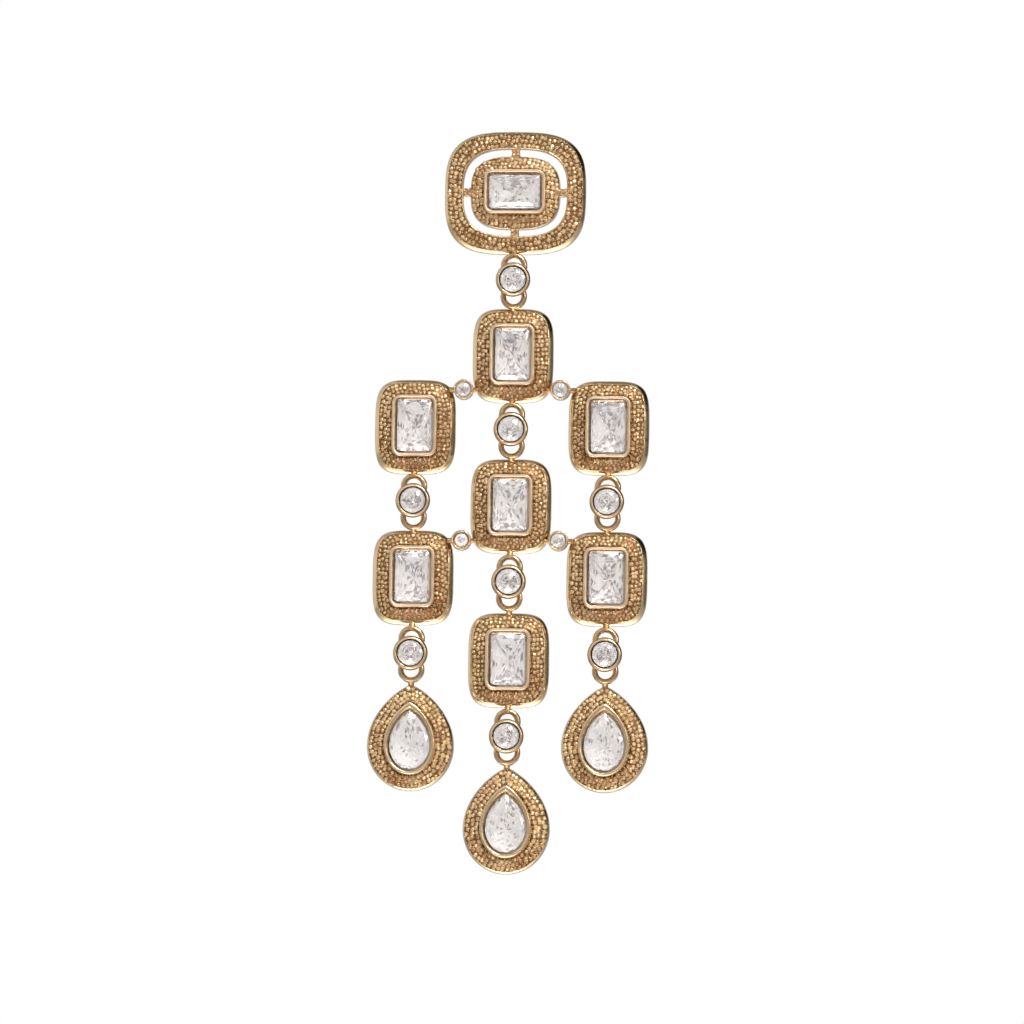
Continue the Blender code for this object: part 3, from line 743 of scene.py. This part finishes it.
def make_piece(name, shapes, look, body, stands_for=(), back=None):
    """One mesh object of many shapes: points stacked, and each face's numbers moved on by those before it."""
    start, points, faces, smooth = 0, [], [], []
    for part in shapes:
        points.append(part["points"])
        for block in part["faces"]:
            faces += (block + start).tolist()
            smooth.append(np.full(len(block), part["smooth"]))
        start += len(part["points"])
    mesh = bpy.data.meshes.new(name)
    mesh.from_pydata(np.concatenate(points).tolist(), [], faces)
    mesh.polygons.foreach_set("use_smooth", np.concatenate(smooth))
    channel = mesh.attributes.new("channel", "FLOAT", "POINT")
    channel.data.foreach_set("value", np.concatenate([part["channel"] for part in shapes]).astype(np.float32))
    tone = mesh.attributes.new("tone", "FLOAT", "FACE")
    tone.data.foreach_set("value", np.concatenate([part["tone"] for part in shapes]).astype(np.float32))
    mesh.materials.append(look)
    if back:
        mesh.materials.append(back)
        mesh.polygons.foreach_set("material_index", np.concatenate([part["foil"] for part in shapes]))
    mesh.validate()
    mesh.update()
    piece = bpy.data.objects.new(name, mesh)
    bpy.context.scene.collection.objects.link(piece)
    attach(piece, body)
    if stands_for:
        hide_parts(*stands_for)
    return piece


# Materials.


class Value:
    """A socket that carries a number. Sums, differences and products of them add their Math nodes."""

    def __init__(self, finish, socket):
        self.finish = finish
        self.socket = socket

    def maths(self, operation, first, second):
        made = self.finish.node("ShaderNodeMath", {"operation": operation}, {0: first, 1: second})
        return Value(self.finish, made.outputs[0])

    def __add__(self, other):
        return self.maths("ADD", self, other)

    def __radd__(self, other):
        return self.maths("ADD", other, self)

    def __sub__(self, other):
        return self.maths("SUBTRACT", self, other)

    def __rsub__(self, other):
        return self.maths("SUBTRACT", other, self)

    def __mul__(self, other):
        return self.maths("MULTIPLY", self, other)

    def __rmul__(self, other):
        return self.maths("MULTIPLY", other, self)


class Finish:
    """One material or world and its nodes."""

    def __init__(self, owner):
        self.owner = owner
        owner.use_nodes = True
        self.tree = owner.node_tree
        self.tree.nodes.clear()

    def node(self, kind, settings=None, sockets=None):
        """A node of this type: its settings first, then a value or a link for each socket."""
        made = self.tree.nodes.new(kind)
        for name, value in (settings or {}).items():
            setattr(made, name, value)
        for name, value in (sockets or {}).items():
            source = value.socket if isinstance(value, Value) else value
            if isinstance(source, bpy.types.NodeSocket):
                self.tree.links.new(source, made.inputs[name])
            else:
                made.inputs[name].default_value = source
        return made

    def value(self, made, output=0):
        return Value(self, made.outputs[output])

    def attribute(self, name):
        return self.value(self.node("ShaderNodeAttribute", {"attribute_name": name}), "Fac")

    def grain(self, per_mm, detail=3.0):
        """Noise over the piece's own coordinates, at so many bumps to the millimetre."""
        place = self.node("ShaderNodeTexCoord")
        sockets = {"Vector": place.outputs["Object"], "Scale": per_mm / MM, "Detail": detail}
        return self.value(self.node("ShaderNodeTexNoise", None, sockets), "Fac")

    def mix(self, share, first, second):
        made = self.node("ShaderNodeMix", {"data_type": "RGBA"}, {0: share, 6: first, 7: second})
        return made.outputs[2]

    def bump(self, height, strength, distance):
        sockets = {"Height": height, "Strength": strength, "Distance": distance}
        return self.node("ShaderNodeBump", None, sockets).outputs[0]

    def shade(self, sockets):
        shader = self.node("ShaderNodeBsdfPrincipled", None, sockets)
        self.node("ShaderNodeOutputMaterial", None, {"Surface": shader.outputs[0]})
        return self.owner


def polished_gold():
    """Yellow gold plate: soft polish that wears lighter, with painted shade as a deeper matt brown on the
    paved floors, seats and other marked parts, and a lighter rose painted highlight on the lips.
    """
    finish = Finish(bpy.data.materials.new("polished_gold"))
    channel = finish.attribute("channel")
    cloud = finish.grain(0.35)
    fine = finish.grain(6.0, 2.0)
    gold = finish.mix(cloud, (0.56, 0.39, 0.20, 1.0), (0.74, 0.55, 0.32, 1.0))
    # rose: a lighter rose where the mark is below nought, a painted highlight on the lips.
    rose = finish.mix(-1 * channel, gold, (0.68, 0.50, 0.33, 1.0))
    # deep: the dark brown that the mark mixes in toward one, painted shade.
    deep = finish.mix(fine, (0.12, 0.048, 0.012, 1.0), (0.34, 0.17, 0.055, 1.0))
    return finish.shade({
        "Base Color": finish.mix(channel, rose, deep),
        "Metallic": 1.0,
        "Roughness": 0.12 + 0.15 * fine + 0.15 * channel * channel,
        "Coat Weight": 0.5,
        "Coat Roughness": 0.1,
        "Normal": finish.bump(finish.grain(0.45, 2.0) + 0.10 * finish.grain(3.0, 2.0), 0.8, 0.22 * MM),
    })


def golden_stone():
    """Small golden stones: each facet its own tone from brown to pale gold, drifting from place to place. The
    tone also carries the paving's painted highlight toward the top and painted shade toward the foot.
    """
    finish = Finish(bpy.data.materials.new("golden_stone"))
    tone = 0.62 * finish.attribute("tone") + 0.75 * finish.grain(0.30, 2.0) - 0.20
    dark = finish.mix(finish.grain(1.2), (0.19, 0.045, 0.004, 1.0), (0.38, 0.16, 0.030, 1.0))
    pale = finish.mix(finish.grain(2.5), (0.69, 0.48, 0.22, 1.0), (0.94, 0.78, 0.50, 1.0))
    return finish.shade({
        "Base Color": finish.mix(tone, dark, pale),
        "Metallic": 0.72,
        "Roughness": 0.28 + 0.24 * finish.grain(5.0),
        "Coat Weight": 0.55,
        "Coat Roughness": 0.25,
    })


def clear_stone():
    """Clear cut stones: glass of a high bend, with the faintest rose and grey tints from facet to facet,
    which follow the facets' painted reflections.
    """
    finish = Finish(bpy.data.materials.new("clear_stone"))
    tone = finish.attribute("tone")
    tint = finish.mix(tone, (0.96, 0.935, 0.935, 1.0), (1.00, 0.98, 0.955, 1.0))
    return finish.shade({
        "Base Color": finish.mix(finish.grain(0.8), tint, (1.00, 0.98, 0.965, 1.0)),
        "Roughness": 0.012 * finish.grain(3.0),
        "IOR": 1.9,
        "Transmission Weight": 1.0,
    })


def silver_foil():
    """The bright foil under the stones: each facet a little greyer, rosier or bluer than the next, painted
    reflections and fire of the stone.
    """
    finish = Finish(bpy.data.materials.new("silver_foil"))
    tone = finish.attribute("tone")
    # dim, cool and tint are painted reflections: dark facets grey-blue or brown, bright ones white with a
    # rose fire.
    dim = finish.mix(2.0 * finish.grain(0.9) - 0.5, (0.37, 0.37, 0.45, 1.0), (0.50, 0.37, 0.29, 1.0))
    cool = finish.mix(2.0 * tone, dim, (0.99, 0.99, 0.99, 1.0))
    tint = finish.mix(3.0 * tone - 2.0, cool, (1.00, 0.93, 0.89, 1.0))
    return finish.shade({
        "Base Color": tint,
        "Metallic": 0.85 - 0.70 * tone,
        "Roughness": 0.03 + 0.06 * finish.grain(4.0),
    })


def pale_floor():
    """The pale grey ground that the piece hangs above."""
    finish = Finish(bpy.data.materials.new("pale_floor"))
    speck = finish.grain(0.02)
    return finish.shade({
        "Base Color": finish.mix(speck, (0.72, 0.72, 0.72, 1.0), (0.77, 0.77, 0.77, 1.0)),
        "Roughness": 0.7 + 0.1 * speck,
    })


# Pieces.


def middle(node):
    """A node's place across and up, from the middle of its box."""
    low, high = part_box(node)
    return (low.x + high.x) / 2, (low.z + high.z) / 2


def pear_place(node):
    """The middle of a pear's widest line, from its stone's box."""
    low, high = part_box(node)
    return (low.x + high.x) / 2, high.z - PEAR_STONE_RISE


def cushion_nest(edge, node, seat):
    """Nested outlines of a frame: its edge, the foot of its bezel, the window, and the seat's inner edge."""
    low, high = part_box(node)
    half_width, half_height = (high.x - low.x) / 2 + WINDOW_GAP, (high.z - low.z) / 2 + WINDOW_GAP
    corner = min(BEZEL_CORNER / 2, SEAT_ROUND * seat[1] * half_height)
    return nested((
        superellipse(**edge),
        rounded_rectangle(half_width + BEZEL_WALL, half_height + BEZEL_WALL, BEZEL_CORNER),
        rounded_rectangle(half_width, half_height, BEZEL_CORNER / 2),
        rounded_rectangle(half_width * seat[0], half_height * seat[1], corner),
    ), INSETS)


def cushion_frame(place):
    """A cushion frame with its paving. All of them are alike, so the lowest one's stone gives the window."""
    nest = cushion_nest(CUSHION, "cushion_lowest_stone", CUSHION_SEAT)
    stones, beads = paving(nest, PAVED, place)
    return [lofted(nest, FRAME_SECTION, place, PAVED)], stones, beads


def pear_frame(node):
    """A pear frame with its paving, round the stone of a node."""
    place, (low, high) = pear_place(node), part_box(node)
    half = (high.x - low.x) / 2 + WINDOW_GAP - PEAR_SLIM
    rise = high.z - place[1] + WINDOW_GAP
    fall = place[1] - low.z + WINDOW_GAP
    nest = nested((
        pear_outline(**PEAR),
        pear_outline(half + BEZEL_WALL, rise + 2 * BEZEL_WALL, fall + BEZEL_WALL),
        pear_outline(half, rise, fall),
        pear_outline(half * PEAR_SEAT, rise * PEAR_SEAT, fall * PEAR_SEAT),
    ), INSETS)
    section, paved = narrow_rim(FRAME_SECTION, PAVED, FINE_RIM)
    stones, beads = paving(nest, paved, place)
    return [lofted(nest, section, place, paved, "pear_lip")], stones, beads


def ring_beside(place, side):
    """A ring above or below a link, its short lug running on into the frame that it belongs to."""
    centre = (place[0], place[1] - side * RING_TO_LINK)
    lug_start = (place[0], -RING_DEPTH, centre[1] - side * RING_RADIUS)
    lug_end = (place[0], -LUG_END_DEPTH, centre[1] - side * (RING_RADIUS + LUG_REACH))
    return [ring(centre), spoke(lug_start, lug_end, LUG_WIDTH, LUG_DEPTH, MARK["lug"])]


def link_pieces(name, looks):
    """A round bezel cup on its bent wire, and its clear stone."""
    place = middle(name + "_stone")
    level = RING_TO_LINK - RING_RADIUS + RING_WIRE + STAPLE_ROOM_UP + STAPLE_WIRE
    back = RING_DEPTH - RING_WIRE - STAPLE_ROOM_BACK - STAPLE_WIRE
    upper = (
        (LINK_BACK + 0.25 * MM, LINK_BACK_RADIUS - 0.3 * MM),
        (LINK_BACK - 0.1 * MM, level),
        (back + 0.1 * MM, level),
        (back, level - 0.15 * MM),
    )
    route = upper + tuple((depth, -z) for depth, z in reversed(upper))
    metal = [turned_cup(LINK_CUP, place), bent_wire(route, place)]
    make_piece(name + "_gold", metal, looks["gold"], name, (name,))
    round_stone(name + "_stone", name, LINK_STONE, looks)


def stone_piece(node, body, place, stone, depth, looks, tones):
    """A cut stone in its place: each facet has its own tone, and a share of them is dim, painted dark
    reflections.

    The share is larger at the stone's two ends or, where a row is named, from that row in to the point.
    """
    points, faces = stone
    placed = points + np.array([place[0], -depth, place[1]])
    rows = np.concatenate([np.full(len(block), number) for number, block in enumerate(faces)])
    if "ends_from" in tones:
        ends = rows >= tones["ends_from"]
    else:
        centres = np.abs(np.concatenate([points[block].mean(axis=1) for block in faces]))
        size = np.abs(points).max(axis=0)
        ends = centres[:, 2] / size[2] > centres[:, 0] / size[0]
    # Dim facets are painted dark reflections; the others are painted bright.
    dim = CHANCE.uniform(size=len(rows)) < np.where(ends, tones["dim_ends"], tones["dim"])
    tone = np.where(dim, CHANCE.uniform(*DIM_TONES, len(rows)), CHANCE.uniform(*tones["bright"], len(rows)))
    cut = shape(placed, faces, smooth=False, tone=tone)
    low = [placed[block, 1].mean(axis=1) > -depth + FOIL_BELOW for block in faces]
    cut["foil"] = np.concatenate(low).astype(np.int32)
    name = node.replace("_stone", "") + "_clear_stone"
    make_piece(name, [cut], looks["clear"], body, (node,), back=looks["foil"])


def round_stone(node, body, size, looks):
    """A round stone of one of the two sizes, at the middle of its node's box."""
    turn = np.arange(ROUND_SIDES) / ROUND_SIDES * TURN
    outline = by_share(size["radius"] * np.cos(turn), size["radius"] * np.sin(turn))
    cut = [(share, height * size["scale"], step) for share, height, step in ROUND_CUT]
    stone = gem(outline, cut, ROUND_SIDES, ROUND_CULET * size["scale"], SWING)
    stone_piece(node, body, middle(node), stone, size["depth"], looks, ROUND_TONES)


def oblong_stone(node, body, looks, tones=OBLONG_TONES):
    """An oblong stone with cut corners, a little wider than its node so that it meets the bezel."""
    low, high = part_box(node)
    half = (high - low) / 2
    outline = oblong(half.x + STONE_GAP, half.z + STONE_GAP)
    stone = gem(outline, DEEP_CUT, OBLONG_SIDES, OBLONG_CULET, SWING)
    stone_piece(node, body, middle(node), stone, GIRDLE_DEPTH, looks, tones)


def pear_stone(node, body, looks):
    """A pear stone about the middle of its widest line."""
    low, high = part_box(node)
    place = pear_place(node)
    half = (high.x - low.x) / 2 + STONE_GAP - PEAR_SLIM
    x, z = pear_outline(half, high.z - place[1] + STONE_GAP, place[1] - low.z + STONE_GAP)
    stone = gem(by_share(x, z), DEEP_CUT, PEAR_SIDES, PEAR_CULET, SWING)
    stone_piece(node, body, place, stone, GIRDLE_DEPTH, looks, PEAR_TONES)


def dress(body, metal, stones, beads, looks):
    """The gold of a body in its node's stead, with its paving and beads."""
    make_piece(body + "_gold", metal, looks["gold"], body, (body,))
    make_piece(body + "_pave", stones, looks["golden"], body)
    make_piece(body + "_beads", beads, looks["gold"], body)


def small_bezel(node, body, looks):
    """A small round bezel with a beaded lip, and the two short bars that hold it between frames."""
    x, z = middle(node)
    bars = [rod((x + end * BAR_START, -BAR_DEPTH, z), (x + end * BAR_END, -BAR_DEPTH, z)) for end in (-1, 1)]
    turn = np.arange(LIP_BEADS) / LIP_BEADS * TURN
    level = np.zeros(LIP_BEADS)
    out = np.stack([np.cos(turn), level, np.sin(turn)], 1)
    centres = out * LIP_BEAD_ROW + np.array([x, -LIP_BEAD_DEPTH, z])
    tangents = np.stack([-np.sin(turn), level, np.cos(turn)], 1)
    ups = np.tile([0.0, -1.0, 0.0], (LIP_BEADS, 1))
    round_stone(node, body, SMALL_STONE, looks)
    beads = bead_copies(centres, tangents, ups, LIP_BEAD_RADIUS, MARK["lip_bead"])
    return [turned_cup(SMALL_CUP, (x, z)), *bars], [beads]


def row_pieces(name, looks):
    """Three cushion frames and the two small bezels that they are soldered to."""
    metal, stones, beads = [], [], []
    for side in ("centre", "left", "right"):
        place = middle(f"{name}_{side}_stone")
        made = cushion_frame(place)
        metal += made[0]
        stones += made[1]
        beads += made[2]
        oblong_stone(f"{name}_{side}_stone", name, looks)
    for side in ("left", "right"):
        made = small_bezel(f"{name}_{side}_small_stone", name, looks)
        metal += made[0]
        beads += made[1]
    return metal, stones, beads


def spoke_row(ends, way, side, laid):
    """Places at even steps along a spoke's front, on a row beside its middle line, each strayed a little."""
    run, front = np.tile(way, (laid["count"], 1)), np.tile([0.0, -1.0, 0.0], (laid["count"], 1))
    spots = np.linspace(*ends, laid["count"]) + side * np.cross(run, front)
    spots[:, 1] -= SPOKE_DEPTH / 2 + laid["lift"]
    return strayed(spots, run, front, laid["stray"])


def plate_spokes(place, edge):
    """The four spokes over the plate's slots, each with rows of beads and of small stones between them."""
    metal, stones, beads = [], [], []
    for x, z in ((1, 0), (0, 1), (-1, 0), (0, -1)):
        start = (edge["width"] if x else edge["height"]) / 2
        reaches = (start - SPOKE_OVERLAP, start + SLOT_WIDTH + SPOKE_OVERLAP)
        ends = [(place[0] + x * reach, -SPOKE_LEVEL, place[1] + z * reach) for reach in reaches]
        way = [float(x), 0.0, float(z)]
        metal.append(spoke(*ends, SPOKE_WIDTH, SPOKE_DEPTH, MARK["spoke"]))
        for side in SPOKE_BEADS["rows"]:
            beads.append(bead_copies(*spoke_row(ends, way, side, SPOKE_BEADS), BEAD_RADIUS))
        for side in SPOKE_STONES["rows"]:
            held = spoke_row(ends, way, side, SPOKE_STONES)
            stones.append(small_stones(held, SPOKE_STONE_RADIUS, SPOKE_TONE))
    return metal, stones, beads


def plate_pieces(looks):
    """The plate: a paved ring, a paved cushion inside its slots, four spokes, the hanging ring, the post."""
    place = middle("top_plate_stone")
    outer = nested((superellipse(**PLATE), superellipse(**SLOT)), (0.0, BAND))
    section, paved = narrow_rim(RING_SECTION, RING_PAVED, PLATE_RIM)
    metal = [lofted(outer, section, place, paved)]
    stones, beads = paving(outer, paved, place, OUTER_PAINTED_SHADING)

    edge = {**SLOT, "width": SLOT["width"] - 2 * SLOT_WIDTH, "height": SLOT["height"] - 2 * SLOT_WIDTH}
    inner = cushion_nest(edge, "top_plate_stone", PLATE_SEAT)
    section, paved = narrow_rim(PLATE_SECTION, PAVED, FINE_RIM)
    metal.append(lofted(inner, section, place, paved))
    for held, made in zip((stones, beads), paving(inner, paved, place, INNER_PAINTED_SHADING)):
        held += made
    for held, made in zip((metal, stones, beads), plate_spokes(place, edge)):
        held += made
    metal += ring_beside(middle("link_top_stone"), -1)
    radius, depth = np.array(POST).T * MM
    metal.append(turned(radius, depth, (0.0, 0.0), np.zeros(len(POST)), closed=False))
    oblong_stone("top_plate_stone", "top_plate", looks, PLATE_TONES)
    dress("top_plate", metal, stones, beads, looks)


def build_earring(looks):
    """Every piece: the plate, then each frame or row with its stones and rings, then the links."""
    plate_pieces(looks)
    for body, rings in RINGS_OF.items():
        if body.startswith("row"):
            metal, stones, beads = row_pieces(body, looks)
        elif body.startswith("cushion"):
            metal, stones, beads = cushion_frame(middle("cushion_lowest_stone"))
            oblong_stone("cushion_lowest_stone", body, looks)
        else:
            metal, stones, beads = pear_frame(body + "_stone")
            pear_stone(body + "_stone", body, looks)
        for link, side in rings:
            metal += ring_beside(middle(link + "_stone"), side)
        dress(body, metal, stones, beads, looks)
    for name in frame["bodies"]:
        if name.startswith("link"):
            link_pieces(name, looks)


# Stage, light and camera.


def add_floor():
    """A large ground well below the piece."""
    size, drop = 6.0, -0.7
    points = [(-size, -size, drop), (size, -size, drop), (size, size, drop), (-size, size, drop)]
    mesh = bpy.data.meshes.new("floor")
    mesh.from_pydata(points, [], [(0, 1, 2, 3)])
    mesh.materials.append(pale_floor())
    floor = bpy.data.objects.new("floor", mesh)
    bpy.context.scene.collection.objects.link(floor)


def add_world():
    """White behind all that the camera sees, and a studio round the piece: bright below, dim on one side."""
    world = bpy.data.worlds.new("studio")
    bpy.context.scene.world = world
    finish = Finish(world)
    place = finish.node("ShaderNodeTexCoord")
    split = finish.node("ShaderNodeSeparateXYZ", None, {0: place.outputs["Generated"]})
    across, deep, up = (Value(finish, split.outputs[axis]) for axis in range(3))
    sockets = {"Vector": place.outputs["Generated"], "Scale": 3.2, "Detail": 2.0}
    patches = finish.node("ShaderNodeTexNoise", None, sockets)
    above = soft_step(finish, up, 0.0, 0.45)
    top = soft_step(finish, up, 0.65, 0.9)
    beside = soft_step(finish, deep, -0.5, -0.1)
    right = soft_step(finish, across, 0.30, 0.55) * beside
    left = soft_step(finish, -1 * across, 0.30, 0.60) * beside
    corner = soft_step(finish, up, 0.12, 0.30)
    front_right = soft_step(finish, across, -0.1, 0.5)
    level = 0.54 + 0.52 * above - 0.28 * top + 0.15 * front_right
    level = level * (1 - right * (0.20 + 0.78 * corner)) * (1 - left * 0.60 * corner)
    lit_side = 0.75 * soft_step(finish, -1 * across, 0.0, 0.35)
    behind = soft_step(finish, deep - lit_side, -0.50, 0.25) - 0.9 * soft_step(finish, deep, 0.72, 0.92)
    level = level * (1 - 0.70 * behind)
    level = level + 0.42 * soft_step(finish, -1 * across, 0.40, 0.70) * soft_step(finish, deep, -0.60, -0.25)
    level = level * (0.40 + 1.2 * Value(finish, patches.outputs[0]))
    tint = finish.node("ShaderNodeBackground", None, {"Color": (1.0, 1.0, 1.0, 1.0), "Strength": level})
    white = finish.node("ShaderNodeBackground", None, {"Color": (1.0, 1.0, 1.0, 1.0), "Strength": 1.0})
    path = finish.node("ShaderNodeLightPath")
    both = finish.node("ShaderNodeMixShader", None,
                       {0: path.outputs["Is Camera Ray"], 1: tint.outputs[0], 2: white.outputs[0]})
    finish.node("ShaderNodeOutputWorld", None, {"Surface": both.outputs[0]})


def soft_step(finish, value, low, high):
    """0 below the low mark, 1 above the high one, with a soft rise between."""
    settings = {"interpolation_type": "SMOOTHSTEP"}
    made = finish.node("ShaderNodeMapRange", settings, {0: value, 1: low, 2: high, 3: 0.0, 4: 1.0})
    return Value(finish, made.outputs[0])


def add_light(name, place, size, energy, toward=AIM):
    """A square light at a place, facing a point."""
    data = bpy.data.lights.new(name, "AREA")
    data.size = size
    data.energy = energy
    light = bpy.data.objects.new(name, data)
    light.location = place
    light.rotation_euler = (Vector(toward) - Vector(place)).to_track_quat("-Z", "Y").to_euler()
    bpy.context.scene.collection.objects.link(light)


def add_camera():
    """The camera on its line through the aim, its field as many pixels wide as the photograph."""
    data = bpy.data.cameras.new("camera")
    data.sensor_width = SENSOR_WIDTH
    data.lens = SENSOR_WIDTH * CAMERA_DISTANCE / (PIXEL * FRAME_PIXELS)
    data.clip_end = 20.0
    camera = bpy.data.objects.new("camera", data)
    azimuth, elevation = math.radians(CAMERA_AZIMUTH), math.radians(CAMERA_ELEVATION)
    back = Vector((math.sin(azimuth) * math.cos(elevation), -math.cos(azimuth) * math.cos(elevation),
                   math.sin(elevation)))
    camera.location = AIM + back * CAMERA_DISTANCE
    turn = (-back).to_track_quat("-Z", "Y").to_matrix() @ Matrix.Rotation(math.radians(CAMERA_ROLL), 3, "Z")
    camera.rotation_euler = turn.to_euler()
    bpy.context.scene.collection.objects.link(camera)
    bpy.context.scene.camera = camera


build_earring({
    "gold": polished_gold(),
    "golden": golden_stone(),
    "clear": clear_stone(),
    "foil": silver_foil(),
})
add_floor()
add_world()
add_light("key", (0.35, -0.85, 0.78), 0.35, 10.0)
add_light("fill", (1.05, -0.70, 0.30), 0.30, 1.8)
add_light("low", (-0.1, -0.75, -0.62), 0.25, 2.0)
add_light("floor wash", (0.0, 0.32, -0.28), 0.60, 15.0, (0.0, 0.32, -0.7))
add_camera()
bpy.context.scene.view_settings.view_transform = "Standard"
